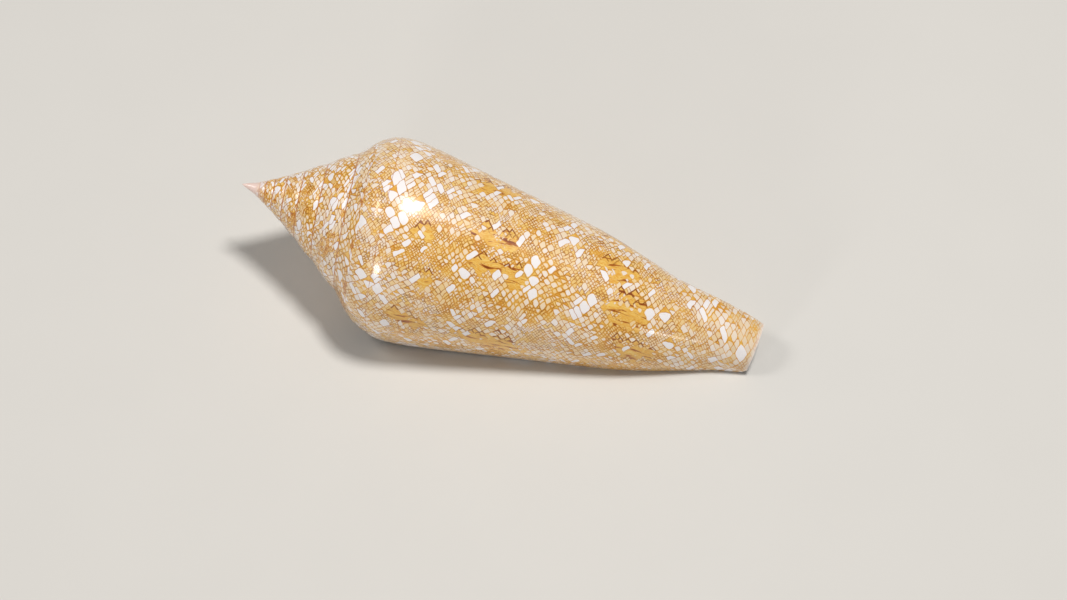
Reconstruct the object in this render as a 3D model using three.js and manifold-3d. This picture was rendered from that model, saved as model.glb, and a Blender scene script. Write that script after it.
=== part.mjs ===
// Cone shell, lying on its mouth with its patterned back up.
// The wall is one sheet that winds round an axis from the pointed apex at -X to the open front end at +X.
// Each turn is a larger copy of the turn before it, so one outline and three growth numbers give every whorl.
import * as THREE from 'three';
import { mergeVertices } from 'three/addons/utils/BufferGeometryUtils.js';
import Module from 'manifold-3d';

// Driving dimensions, in millimetres, degrees and turns
const shellLength = 120; // apex to the open front end, along the axis
const lengthGrowth = 1.35; // how much longer the shell gets in each turn
const widthPower = 1.2; // widths grow faster than lengths, which hollows the sides of the spire
const spireTurns = 7; // whorls that show behind the last one
const sutureDepth = 26.9; // from the apex to where the last whorl leaves the one before it, at the lip
const stepSoftness = 0.5; // 0 keeps the spire's whorls stepped, 1 makes its side straight
const wallThickness = 1.25; // near the lip, and in proportion further in
const lipShare = 0.45; // the lip's edge is this share of the wall's thickness
const lipTaper = 0.06; // turns over which the wall thins towards it
const cavityTurns = 1.125; // how far the hollow winds in from the lip
const seamDepth = 0.045; // the hollow's rear edge, as a share of the suture's depth
const slotTurns = 0.5; // how far round the front end is open
const slotRise = 33; // how fast the hollow's front edge draws back, per turn
const frontSlant = 0.4; // the front end's cut leans by this much either way
const sinusAngle = 15; // the lip is set back round the shoulder, in degrees
const sinusReach = 1.55; // how far that notch runs from the suture, in widths of the ramp
const lipLean = 8; // and by this much at its front
const cornerAngle = 24; // the lip's front corner is rounded off
const cornerLength = 4;
const lipFade = 0.14; // turns over which those bends of the lip die out
const flatDepth = 0.3; // worn off where the shell rests
const restRoll = 218.2; // the lip's place round the axis, from +Y towards +Z, in degrees
const restPitch = 9.36; // how far the front end points down

// The last whorl's outline at the lip: depth below the apex, and radius
const outline = [
  [26.9, 16.8],
  [29.0, 19.4],
  [32.2, 22.4],
  [35.3, 23.9],
  [39.9, 24.5],
  [47.6, 23.7],
  [66.2, 20.4],
  [87.6, 16.7],
  [95.6, 15.0],
  [108.0, 11.3],
  [114.2, 9.4],
  [120.2, 8.3],
  [126.4, 7.3],
  [132.7, 5.9],
  [138.9, 4.1],
  [150.0, 2.6],
  [170.0, 1.9],
  [280.0, 1.7],
];

// Mesh steps
const stepsPerTurn = 48;
const spireRows = 3;
const bodyRows = 14;
const bodyRowPower = 1.25; // above 1 puts more rows near the shoulder

const lipStep = (spireTurns + 1) * stepsPerTurn;
const cavitySteps = Math.round(cavityTurns * stepsPerTurn);
const innerRows = spireRows + bodyRows;

// A smooth curve through the outline's points
function outlineRadius(depth) {
  const last = outline.length - 1;
  if (depth <= outline[0][0]) {
    return outline[0][1];
  }
  if (depth >= outline[last][0]) {
    return outline[last][1];
  }
  let i = 0;
  while (depth > outline[i + 1][0]) {
    i += 1;
  }
  const slopeAt = (j) => {
    const before = outline[Math.max(j - 1, 0)];
    const after = outline[Math.min(j + 1, last)];
    return (after[1] - before[1]) / (after[0] - before[0]);
  };
  const [z0, r0] = outline[i];
  const [z1, r1] = outline[i + 1];
  const span = z1 - z0;
  const t = (depth - z0) / span;
  const rise = t * t * (3 - 2 * t);
  const leave = t * (1 - t) * (1 - t);
  const arrive = t * t * (1 - t);
  return r0 * (1 - rise) + r1 * rise + span * (slopeAt(i) * leave - slopeAt(i + 1) * arrive);
}

// Turns are counted from the lip, so they are negative behind it
const lengthScale = (turn) => lengthGrowth ** turn;
const widthScale = (turn) => lengthScale(turn) ** widthPower;
const sutureAt = (turn) => sutureDepth * lengthScale(turn);

function wallAt(turn) {
  const share = THREE.MathUtils.lerp(lipShare, 1, THREE.MathUtils.smoothstep(-turn, 0, lipTaper));
  return share * wallThickness * lengthScale(turn);
}

function sheetRadius(depth, turn) {
  return widthScale(turn) * outlineRadius(depth / lengthScale(turn));
}

// The part of a whorl that shows on the spire, from its suture to the next
function rampRadius(share, turn) {
  const top = sutureAt(turn);
  const bottom = sutureAt(turn + 1);
  const stepped = sheetRadius(THREE.MathUtils.lerp(top, bottom, share), turn);
  const straight = THREE.MathUtils.lerp(sheetRadius(top, turn), sheetRadius(bottom, turn), share);
  const softness = stepSoftness * THREE.MathUtils.smoothstep(-turn, 0.5, 1);
  return THREE.MathUtils.lerp(stepped, straight, softness);
}

const turnOf = (step) => (step - lipStep) / stepsPerTurn;

// How far the lip's edge is set back, in turns: the sinus, the lean and the round corner
function setBack(depth, turn) {
  const near = THREE.MathUtils.smoothstep(turn, -lipFade, 0);
  const notch = (depth - sutureAt(turn)) / (sutureAt(turn + 1) - sutureAt(turn)) / sinusReach;
  const sinus = sinusAngle * Math.sin(Math.PI * THREE.MathUtils.clamp(notch, 0, 1)) ** 2;
  const lean = lipLean * THREE.MathUtils.smoothstep(depth, 0.3 * shellLength, shellLength);
  const corner = cornerAngle * THREE.MathUtils.clamp(1 - (shellLength - depth) / cornerLength, 0, 1) ** 2;
  return -near * (sinus + lean + corner) / 360;
}

const positions = [];
const faces = [];

function addVertex(depth, radius, turn) {
  const angle = THREE.MathUtils.degToRad(restRoll) + 2 * Math.PI * turn;
  positions.push(depth, radius * Math.cos(angle), radius * Math.sin(angle));
  return positions.length / 3 - 1;
}

function addFace(a, b, c) {
  if (a !== b && b !== c && c !== a) {
    faces.push(a, b, c);
  }
}

// Two triangles across a cell, with a and b on its rear edge and c and d on its front edge
function addQuad(a, b, c, d) {
  addFace(a, b, c);
  addFace(b, d, c);
}

// The front end's cut leans a little, so its depth depends on the place round the axis
function frontDepth(turn) {
  return shellLength - frontSlant * (1 - Math.cos(2 * Math.PI * (turn + 0.5)));
}

function rowDepth(row, start, end) {
  return start + (end - start) * (row / bodyRows) ** bodyRowPower;
}

// The strips of the spire and of the last whorl's ramp, welded at the sutures
function makeRamps() {
  const ramps = [];
  const firstSuture = sutureAt(-spireTurns);
  const firstRadius = sheetRadius(firstSuture, -spireTurns - 1);
  for (let step = 0; step <= lipStep; step += 1) {
    const turn = turnOf(step);
    const column = [];
    if (step >= stepsPerTurn) {
      column.push(ramps[step - stepsPerTurn][spireRows]);
    } else {
      column.push(addVertex(firstSuture, firstRadius, turn));
    }
    for (let row = 1; row <= spireRows; row += 1) {
      const share = row / spireRows;
      if (step === 0) {
        column.push(column[0]);
      } else if (step < stepsPerTurn) {
        const end = sutureAt(turn + 1);
        const depth = THREE.MathUtils.lerp(firstSuture, end, share);
        column.push(addVertex(depth, THREE.MathUtils.lerp(firstRadius, sheetRadius(end, turn), share), turn));
      } else {
        const depth = THREE.MathUtils.lerp(sutureAt(turn), sutureAt(turn + 1), share);
        const bent = turn + setBack(depth, turn);
        column.push(addVertex(depth, rampRadius(share, bent), bent));
      }
    }
    ramps.push(column);
  }
  return ramps;
}

// The last whorl's outside, from the next suture's depth to the front end
function makeBody(ramps, mouthFloor) {
  const body = new Map([[lipStep - stepsPerTurn, mouthFloor]]);
  for (let step = lipStep - stepsPerTurn + 1; step <= lipStep; step += 1) {
    const turn = turnOf(step);
    const column = [ramps[step][spireRows]];
    for (let row = 1; row <= bodyRows; row += 1) {
      const depth = rowDepth(row, sutureAt(turn + 1), frontDepth(turn));
      const bent = turn + setBack(depth, turn);
      column.push(addVertex(depth, sheetRadius(depth, bent), bent));
    }
    body.set(step, column);
  }
  return body;
}

// The hollow has the last whorl's inner side for its roof and the whorl before it for its floor
function hollowEnd(turn) {
  return Math.min(frontDepth(turn), shellLength + 1 + slotRise * (turn + slotTurns));
}

const isOpen = (step) => hollowEnd(turnOf(step)) === frontDepth(turnOf(step));

function makeFloor() {
  const floor = new Map();
  for (let step = lipStep - cavitySteps; step <= lipStep; step += 1) {
    const turn = turnOf(step);
    const column = [];
    for (let row = 0; row <= bodyRows; row += 1) {
      const depth = rowDepth(row, sutureAt(turn) * (1 + seamDepth), hollowEnd(turn));
      column.push(addVertex(depth, sheetRadius(depth, turn - 1), turn));
    }
    floor.set(step, column);
  }
  return floor;
}

function makeRoof(floor) {
  const roof = new Map();
  for (let step = lipStep - cavitySteps; step <= lipStep; step += 1) {
    const turn = turnOf(step);
    const wall = wallAt(turn);
    const column = [floor.get(step)[0]];
    for (let row = 1; row <= spireRows; row += 1) {
      const share = row / spireRows;
      const nudge = 0.01;
      const rise = rampRadius(share, turn) - rampRadius(share - nudge, turn);
      const run = nudge * (sutureAt(turn + 1) - sutureAt(turn));
      const slant = Math.atan2(rise, run);
      const depth = THREE.MathUtils.lerp(sutureAt(turn), sutureAt(turn + 1), share);
      const bent = turn + setBack(depth, turn);
      column.push(addVertex(depth + wall * Math.sin(slant), rampRadius(share, bent) - wall * Math.cos(slant), bent));
    }
    const start = sutureAt(turn + 1) + 0.15 * wallThickness;
    for (let row = 1; row <= bodyRows; row += 1) {
      const depth = rowDepth(row, start, hollowEnd(turn));
      const bent = turn + setBack(depth, turn);
      column.push(addVertex(depth, sheetRadius(depth, bent) - wall, bent));
    }
    if (!isOpen(step)) {
      column[innerRows] = floor.get(step)[bodyRows];
    }
    roof.set(step, column);
  }
  return roof;
}

function skin(left, right, facingOut) {
  for (let row = 0; row + 1 < left.length; row += 1) {
    if (facingOut) {
      addQuad(left[row], right[row], left[row + 1], right[row + 1]);
    } else {
      addQuad(right[row], left[row], right[row + 1], left[row + 1]);
    }
  }
}

function makeShellGeometry() {
  const ramps = makeRamps();
  const floor = makeFloor();
  const roof = makeRoof(floor);
  const body = makeBody(ramps, floor.get(lipStep));

  const apex = addVertex(0, 0, 0);
  for (let step = 0; step < stepsPerTurn; step += 1) {
    addFace(apex, ramps[step + 1][0], ramps[step][0]);
  }
  for (let step = 0; step < lipStep; step += 1) {
    skin(ramps[step], ramps[step + 1], true);
  }

  const mouthStep = lipStep - stepsPerTurn;
  addFace(ramps[mouthStep][spireRows], ramps[mouthStep + 1][spireRows], body.get(mouthStep)[0]);
  for (let step = mouthStep; step < lipStep; step += 1) {
    skin(body.get(step), body.get(step + 1), true);
  }
  for (let step = lipStep - cavitySteps; step < lipStep; step += 1) {
    skin(floor.get(step), floor.get(step + 1), true);
    skin(roof.get(step), roof.get(step + 1), false);
  }

  // The lip's edge
  const outside = [...ramps[lipStep], ...body.get(lipStep).slice(1)];
  skin(outside, roof.get(lipStep), true);

  // The far end of the hollow
  const endFloor = floor.get(lipStep - cavitySteps);
  const endRoof = roof.get(lipStep - cavitySteps);
  for (let row = 0; row <= spireRows; row += 1) {
    addFace(endFloor[1], endRoof[row + 1], endRoof[row]);
  }
  skin(endRoof.slice(spireRows + 1), endFloor.slice(1), true);

  // The front end: the wall's edge round the open slot, then the solid pillar
  let openStep = lipStep;
  while (isOpen(openStep - 1)) {
    openStep -= 1;
  }
  addFace(floor.get(openStep)[bodyRows], roof.get(openStep)[innerRows], roof.get(openStep - 1)[innerRows]);
  const rim = [];
  for (let step = mouthStep; step <= openStep; step += 1) {
    rim.push(body.get(step)[bodyRows]);
  }
  for (let step = openStep; step < lipStep; step += 1) {
    const edge = [body.get(step)[bodyRows], roof.get(step)[innerRows]];
    const nextEdge = [body.get(step + 1)[bodyRows], roof.get(step + 1)[innerRows]];
    skin(edge, nextEdge, true);
  }
  rim.push(roof.get(openStep)[innerRows]);
  for (let step = openStep; step < lipStep; step += 1) {
    rim.push(floor.get(step)[bodyRows]);
  }
  const centre = addVertex(shellLength - frontSlant, 0, 0);
  rim.forEach((vertex, i) => addFace(centre, vertex, rim[(i + 1) % rim.length]));

  const geometry = new THREE.BufferGeometry();
  geometry.setAttribute('position', new THREE.Float32BufferAttribute(positions, 3));
  geometry.setIndex(faces);
  return geometry;
}

const wasm = await Module();
wasm.setup();

function toSolid(geometry) {
  const bare = geometry.clone();
  bare.deleteAttribute('normal');
  bare.deleteAttribute('uv');
  const merged = mergeVertices(bare);
  return new wasm.Manifold(new wasm.Mesh({
    numProp: 3,
    vertProperties: new Float32Array(merged.attributes.position.array),
    triVerts: new Uint32Array(merged.index.array),
  }));
}

function toGeometry(solid) {
  const mesh = solid.getMesh();
  const geometry = new THREE.BufferGeometry();
  geometry.setAttribute('position', new THREE.BufferAttribute(mesh.vertProperties, 3));
  geometry.setIndex(new THREE.BufferAttribute(mesh.triVerts, 1));
  geometry.computeVertexNormals();
  return geometry;
}

// Lay the shell down on its mouth, its middle over the origin, and wear small flats where it touches the surface
const laidShell = makeShellGeometry();
laidShell.rotateY(THREE.MathUtils.degToRad(restPitch));
laidShell.computeBoundingBox();
const middle = laidShell.boundingBox.getCenter(new THREE.Vector3());
laidShell.translate(-middle.x, -middle.y, -laidShell.boundingBox.min.z - flatDepth);

const surface = new THREE.BoxGeometry(2 * shellLength, shellLength, shellLength);
surface.translate(0, 0, -shellLength / 2);

const shellMaterial = new THREE.MeshStandardMaterial({ color: 0xe3c48e, roughness: 0.2, metalness: 0 });
const shell = new THREE.Mesh(toGeometry(toSolid(laidShell).subtract(toSolid(surface))), shellMaterial);
shell.name = 'shell';

const coneShell = new THREE.Group();
coneShell.add(shell);

export default coneShell;
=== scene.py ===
import math
from functools import reduce
import bpy
from mathutils import Matrix, Vector


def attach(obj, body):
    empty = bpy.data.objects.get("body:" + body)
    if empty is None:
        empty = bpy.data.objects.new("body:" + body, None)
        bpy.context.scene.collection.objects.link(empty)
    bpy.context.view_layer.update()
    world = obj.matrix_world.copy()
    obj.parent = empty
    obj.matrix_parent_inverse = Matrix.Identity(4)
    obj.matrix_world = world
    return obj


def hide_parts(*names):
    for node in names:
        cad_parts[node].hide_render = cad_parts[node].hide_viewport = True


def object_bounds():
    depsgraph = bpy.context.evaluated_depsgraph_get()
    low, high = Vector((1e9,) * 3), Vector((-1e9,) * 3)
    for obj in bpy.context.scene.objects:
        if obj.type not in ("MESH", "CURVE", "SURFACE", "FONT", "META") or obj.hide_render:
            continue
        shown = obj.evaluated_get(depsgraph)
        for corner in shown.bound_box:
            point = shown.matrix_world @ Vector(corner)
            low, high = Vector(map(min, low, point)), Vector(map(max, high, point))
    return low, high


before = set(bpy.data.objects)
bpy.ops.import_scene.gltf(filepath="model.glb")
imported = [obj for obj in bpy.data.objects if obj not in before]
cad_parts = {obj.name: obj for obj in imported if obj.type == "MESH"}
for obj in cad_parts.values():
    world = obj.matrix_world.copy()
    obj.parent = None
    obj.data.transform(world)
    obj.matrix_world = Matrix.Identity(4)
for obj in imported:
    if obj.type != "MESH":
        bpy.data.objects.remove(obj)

cadBox = [list(corner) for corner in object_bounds()]
mm = 0.001
print("frame loaded, CAD box in mm:", [[round(v / mm, 1) for v in corner] for corner in cadBox])


# The form: one sheet that winds round an axis, each turn a larger copy of the one before it
form = {
    "length": 120.0,                 # mm, apex to the open front end
    "lengthGrowth": 1.35,            # per turn
    "widthPower": 1.2,               # widths grow faster than lengths
    "spireTurns": 7,
    "sutureDepth": 26.9,             # mm, at the lip
    "stepSoftness": 0.5,             # how straight the spire's side is between two sutures
    "softTurns": (0.5, 1),           # turns behind the lip, where that sets in
    "wall": 1.25,                    # mm, near the lip
    "lipShare": 0.45,                # the lip's edge, as a share of that
    "lipTaper": 0.06,                # turns over which the wall thins towards the lip
    "cavityTurns": 1.125,            # how far the hollow winds in from the lip
    "seamDepth": 0.045,              # the hollow's rear edge, as a share of the suture's depth
    "slotTurns": 0.5,                # how far round the front end is open
    "slotRise": 33.0,                # mm per turn that the hollow's front edge draws back
    "frontSlant": 0.4,               # mm that the front end's cut leans either way
    "sinusAngle": 15.0,              # degrees that the lip is set back round the shoulder
    "sinusReach": 1.55,              # widths of the ramp that this notch runs
    "lipLean": 8.0,                  # degrees that the lip is set back at the front
    "leanStart": 0.3,                # share of the length where that begins
    "cornerAngle": 24.0,             # degrees that the lip's front corner is set back
    "cornerLength": 4.0,             # mm
    "lipFade": 0.14,                 # turns over which the lip's bends die out
    "restRoll": 218.2,               # degrees, place of the lip round the axis
    "restPitch": 9.36,               # degrees, how far the front end points down
    "stepsPerTurn": 192,
    "rampRows": 12,
    "bodyRows": 90,
    "rowPower": 1.15,                # above 1 puts more rows near the shoulder
    "tipRings": (0.06, 0.2, 0.5),    # shares of the way from the apex to the first suture
    "tipRound": 0.85,                # below 1 the tip is rounded
    "threads": 4,                    # raised spiral threads on each ramp
    "threadHeight": 0.07,            # mm, on the last whorl
    "grooveHeight": 0.05,            # mm, spiral grooves towards the front
    "groovePitch": 2.3,              # mm
    "grooveStart": 88.0,             # mm from the apex
    "roofStart": 0.22,               # share of the ramp's width where the hollow's roof begins
    "roofClear": 0.05,               # mm of clearance over its floor, per mm past the seam
    "roofStep": 0.15,                # walls that the roof's next row stands past the suture
    "slantNudge": 0.01,              # share of the ramp's width over which its slant is taken
    "lipRounds": 5,                  # extra edges round the lip
    "lipGlaze": (0.15, 0.6),         # shares of the way round the lip where the pattern fades to white
    "sharpAngle": 50.0,              # degrees, sharper edges aren't smoothed
}

# Last whorl's outline at the lip: depth below the apex and radius, in mm
outline = [
    (26.9, 16.8), (29.0, 19.4), (32.2, 22.4), (35.3, 23.9), (39.9, 24.5), (47.6, 23.7), (66.2, 20.4),
    (87.6, 16.7), (95.6, 15.0), (108.0, 11.3), (114.2, 9.4), (120.2, 8.3), (126.4, 7.3), (132.7, 5.9),
    (138.9, 4.1), (150.0, 2.6), (170.0, 1.9), (280.0, 1.7),
]

lipStep = (form["spireTurns"] + 1) * form["stepsPerTurn"]
mouthStep = lipStep - form["stepsPerTurn"]
cavityStart = lipStep - round(form["cavityTurns"] * form["stepsPerTurn"])
pitch = math.radians(form["restPitch"])


def smoothStep(value, low, high):
    t = min(max((value - low) / (high - low), 0.0), 1.0)
    return t * t * (3 - 2 * t)


def outlineRadius(depth):
    last = len(outline) - 1
    if depth <= outline[0][0]:
        return outline[0][1]
    if depth >= outline[last][0]:
        return outline[last][1]
    i = 0
    while depth > outline[i + 1][0]:
        i += 1

    def slopeAt(j):
        before, after = outline[max(j - 1, 0)], outline[min(j + 1, last)]
        return (after[1] - before[1]) / (after[0] - before[0])

    (z0, r0), (z1, r1) = outline[i], outline[i + 1]
    t = (depth - z0) / (z1 - z0)
    rise = t * t * (3 - 2 * t)
    lean = slopeAt(i) * t * (1 - t) ** 2 - slopeAt(i + 1) * t * t * (1 - t)
    return r0 * (1 - rise) + r1 * rise + (z1 - z0) * lean


def lengthScale(turn):
    return form["lengthGrowth"] ** turn


def sutureAt(turn):
    return form["sutureDepth"] * lengthScale(turn)


def sheetRadius(depth, turn):
    return lengthScale(turn) ** form["widthPower"] * outlineRadius(depth / lengthScale(turn))


def mixed(start, end, share):
    return start + (end - start) * share


def rampRadius(share, turn):    # what shows of a whorl, from its suture to the next
    top, bottom = sutureAt(turn), sutureAt(turn + 1)
    stepped = sheetRadius(mixed(top, bottom, share), turn)
    straight = mixed(sheetRadius(top, turn), sheetRadius(bottom, turn), share)
    return mixed(stepped, straight, form["stepSoftness"] * smoothStep(-turn, *form["softTurns"]))


def turnOf(step):
    return (step - lipStep) / form["stepsPerTurn"]


def wallAt(turn):
    thinned = mixed(form["lipShare"], 1, smoothStep(-turn, 0, form["lipTaper"]))
    return form["wall"] * lengthScale(turn) * thinned


def setBack(depth, turn):    # the lip's sinus, lean and round front corner, in turns
    near = smoothStep(turn, -form["lipFade"], 0)
    notch = (depth - sutureAt(turn)) / (sutureAt(turn + 1) - sutureAt(turn)) / form["sinusReach"]
    sinus = form["sinusAngle"] * math.sin(math.pi * min(max(notch, 0), 1)) ** 2
    lean = form["lipLean"] * smoothStep(depth, form["leanStart"] * form["length"], form["length"])
    toFront = min(max(1 - (form["length"] - depth) / form["cornerLength"], 0), 1)
    return -near * (sinus + lean + form["cornerAngle"] * toFront ** 2) / 360


def frontDepth(turn):
    return form["length"] - form["frontSlant"] * (1 - math.cos(2 * math.pi * (turn + 0.5)))


def hollowEnd(turn):
    return min(frontDepth(turn), form["length"] + 1 + form["slotRise"] * (turn + form["slotTurns"]))


def rowDepth(row, start, end):
    return start + (end - start) * (row / form["bodyRows"]) ** form["rowPower"]


def threadLift(share, turn):    # low spiral threads between two sutures
    height = form["threadHeight"] * lengthScale(turn) * math.sin(math.pi * share) ** 0.5
    return height * math.sin(2 * math.pi * form["threads"] * share)


def grooveLift(depth):    # shallow grooves that deepen towards the front
    strength = smoothStep(depth, form["grooveStart"], form["length"])
    return form["grooveHeight"] * strength * math.sin(2 * math.pi * depth / form["groovePitch"])


# Places on the sheet, kept beside each corner of each face for the material to read
marks = {
    "sectorTurns": 0.5,             # the body's markings start afresh each half turn, at a growth line
    "sectorStart": -0.514,          # turns, behind the top of the photographed side
    "sectorGap": 400.0,             # mm of pattern between two sectors, so that no two look alike
    "shoulderDepth": 0.303,         # share of the length where the body's markings start to count
    "rampTurnLength": 112.0,        # mm of pattern in one turn of the spire, at the lip
    "rampWidth": 14.4,              # mm of pattern across one ramp, at the lip
    "rampGrowth": 0.25,             # both shrink towards the apex at this rate per turn
    "whorlGap": 40.0,               # mm of pattern between two whorls
    "shoulderRow": 5,               # the ramp's markings end here on the last whorl
    "frontStretch": 0.62,           # below 1 the front's cells are longer round the shell
    "frontPlaces": (62.0, 92.0),    # mm along the body, where that begins and is whole
    "glazeReach": 0.09,             # turns over which the pattern fades inside the mouth
    "rimGlaze": 0.7,                # how white the lip's and the front's own rims are
    "bodyShare": 0.7,               # stands for the place on a ramp, clear of the spire's lines
    "insideDepth": 60.0,            # mm, stands for the depth inside, clear of the bare tip
    "floorTurn": -0.99,             # the hollow's floor carries the markings of this sector
}
roundingRoom = 1e-6


def sectorOf(turn):
    return math.floor((turn - marks["sectorStart"]) / marks["sectorTurns"] + roundingRoom)


def bodyMark(depth, turn, radius, sector):
    centre = marks["sectorStart"] + (sector + 0.5) * marks["sectorTurns"]
    along = depth - marks["shoulderDepth"] * form["length"] * lengthScale(turn)
    stretch = mixed(1, marks["frontStretch"], smoothStep(along, *marks["frontPlaces"]))
    around = (turn - centre) * 2 * math.pi * radius * stretch + marks["sectorGap"] * sector
    return (along, around, 0.0)


def rampMark(share, turn, whorl):
    scale = math.exp(marks["rampGrowth"] * turn)
    around = marks["rampTurnLength"] / marks["rampGrowth"] * (scale - 1)
    return (share * marks["rampWidth"] * scale + marks["whorlGap"] * whorl, around, 1.0)


points = []
faces = []
growthMarks = []
placeMarks = []


def addPoint(depth, radius, turn):
    angle = math.radians(form["restRoll"]) + 2 * math.pi * turn
    y = radius * math.cos(angle)
    z = radius * math.sin(angle)
    x = depth * math.cos(pitch) + z * math.sin(pitch)
    points.append((x, y, z * math.cos(pitch) - depth * math.sin(pitch)))
    return len(points) - 1


def addFace(*corners):    # a corner is (point, growth mark, place mark)
    kept = []
    for corner in corners:
        if not kept or corner[0] not in (kept[-1][0], kept[0][0]):
            kept.append(corner)
    if len(kept) > 2:
        faces.append([c[0] for c in kept])
        growthMarks.extend(c[1] for c in kept)
        placeMarks.extend(c[2] for c in kept)


def skin(left, right, facingOut=True):
    for row in range(len(left) - 1):
        cell = (left[row], right[row], right[row + 1], left[row + 1])
        addFace(*(cell if facingOut else cell[::-1]))


def makeRamps():
    ramps = []
    rows = form["rampRows"]
    firstSuture = sutureAt(-form["spireTurns"])
    firstRadius = sheetRadius(firstSuture, -form["spireTurns"] - 1)
    for step in range(lipStep + 1):
        turn = turnOf(step)
        first = step < form["stepsPerTurn"]
        if first:
            column = [addPoint(firstSuture, firstRadius, turn)]
        else:
            column = [ramps[step - form["stepsPerTurn"]][rows]]
        top, bottom = sutureAt(turn), sutureAt(turn + 1)
        for row in range(1, rows + 1):
            share = row / rows
            if step == 0:
                column.append(column[0])
            elif first:
                depth = mixed(firstSuture, bottom, share)
                radius = mixed(firstRadius, sheetRadius(bottom, turn), share)
                column.append(addPoint(depth, radius, turn))
            else:
                depth = mixed(top, bottom, share)
                bent = turn + setBack(depth, turn)
                column.append(addPoint(depth, rampRadius(share, bent) + threadLift(share, turn), bent))
        ramps.append(column)
    return ramps


def rampCorners(ramps, step, sector, rowsFrom, rowsTo, asBody, whorl=-1):    # whorl -1 is the last one
    turn = turnOf(step)
    radius = sheetRadius(sutureAt(turn + 1), turn)
    column = []
    for row in range(rowsFrom, rowsTo + 1):
        share = row / form["rampRows"]
        depth = mixed(sutureAt(turn), sutureAt(turn + 1), share)
        bent = turn + (setBack(depth, turn) if step > mouthStep else 0)
        growth = bodyMark(depth, bent, radius, sector) if asBody else rampMark(share, bent, whorl)
        column.append((ramps[step][row], growth, (depth, share, 0.0)))
    return column


def makeBody(ramps, mouthFloor):
    body = {mouthStep: mouthFloor}
    for step in range(mouthStep + 1, lipStep + 1):
        turn = turnOf(step)
        column = [ramps[step][form["rampRows"]]]
        for row in range(1, form["bodyRows"] + 1):
            depth = rowDepth(row, sutureAt(turn + 1), frontDepth(turn))
            bent = turn + setBack(depth, turn)
            column.append(addPoint(depth, sheetRadius(depth, bent) + grooveLift(depth), bent))
        body[step] = column
    return body


def bodyCorners(body, step, sector):
    turn = turnOf(step)
    start = sutureAt(turn + 1) if step > mouthStep else sutureAt(0) * (1 + form["seamDepth"])
    column = []
    for row in range(form["bodyRows"] + 1):
        depth = rowDepth(row, start, frontDepth(turn))
        bent = turn + setBack(depth, turn)
        growth = bodyMark(depth, bent, sheetRadius(depth, bent), sector)
        pale = marks["rimGlaze"] if step == lipStep or row == form["bodyRows"] else 0.0
        column.append((body[step][row], growth, (depth, marks["bodyShare"], pale)))
    return column


def makeFloor():
    floor = {}
    for step in range(cavityStart, lipStep + 1):
        turn = turnOf(step)
        column = []
        for row in range(form["bodyRows"] + 1):
            depth = rowDepth(row, sutureAt(turn) * (1 + form["seamDepth"]), hollowEnd(turn))
            column.append(addPoint(depth, sheetRadius(depth, turn - 1), turn))
        floor[step] = column
    return floor


def floorCorners(floor, step):
    turn = turnOf(step)
    glaze = smoothStep(-turn, 0, marks["glazeReach"])
    sector = sectorOf(marks["floorTurn"])
    column = []
    for row in range(form["bodyRows"] + 1):
        depth = rowDepth(row, sutureAt(turn) * (1 + form["seamDepth"]), hollowEnd(turn))
        growth = bodyMark(depth, turn - 1, sheetRadius(depth, turn - 1), sector)
        column.append((floor[step][row], growth, (depth, marks["bodyShare"], glaze)))
    return column


def makeRoof(floor):
    roof = {}
    rows = form["rampRows"]
    for step in range(cavityStart, lipStep + 1):
        turn = turnOf(step)
        wall = wallAt(turn)
        column = [floor[step][0]]
        seam = sutureAt(turn) * (1 + form["seamDepth"])
        bottom = sutureAt(turn + 1)
        for row in range(1, rows + 1):
            share = mixed(form["roofStart"], 1, row / rows)
            nudge = form["slantNudge"]
            rise = rampRadius(share, turn) - rampRadius(share - nudge, turn)
            slant = math.atan2(rise, nudge * (bottom - sutureAt(turn)))
            depth = mixed(sutureAt(turn), bottom, share)
            bent = turn + setBack(depth, turn)
            inner = rampRadius(share, bent) - wall * math.cos(slant)
            clear = sheetRadius(depth, turn - 1) + form["roofClear"] * (depth - seam)
            column.append(addPoint(depth + wall * math.sin(slant), max(inner, clear), bent))
        start = bottom + form["roofStep"] * form["wall"]
        for row in range(1, form["bodyRows"] + 1):
            depth = rowDepth(row, start, hollowEnd(turn))
            bent = turn + setBack(depth, turn)
            column.append(addPoint(depth, sheetRadius(depth, bent) - wall, bent))
        if not isOpen(step):
            column[-1] = floor[step][-1]
        roof[step] = column
    return roof


def isOpen(step):
    return hollowEnd(turnOf(step)) == frontDepth(turnOf(step))


def glazed(column):    # white all over
    return [(point, (0.0, 0.0, 0.0), (marks["insideDepth"], marks["bodyShare"], 1.0)) for point in column]


def makeLip(outside, inside):    # rounds the lip's edge between the outer and the inner face
    edges = [outside]
    axis = Vector((math.cos(pitch), 0, -math.sin(pitch)))
    glazeFrom, glazeTo = (math.pi * share for share in form["lipGlaze"])
    for k in range(1, form["lipRounds"] + 1):
        swing = math.pi * k / (form["lipRounds"] + 1)
        glaze = smoothStep(swing, glazeFrom, glazeTo)
        edge = []
        for row, (point, growth, place) in enumerate(outside):
            outer, inner = Vector(points[point]), Vector(points[inside[row][0]])
            middle, half = (outer + inner) / 2, (outer - inner) / 2
            ahead = half.cross(axis).normalized() * half.length * (0 if row == 0 else 1)
            points.append(tuple(middle + half * math.cos(swing) - ahead * math.sin(swing)))
            edge.append((len(points) - 1, growth, (place[0], place[1], glaze)))
        edges.append(edge)
    edges.append(inside)
    for left, right in zip(edges, edges[1:]):
        skin(left, right)
    return edges


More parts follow.
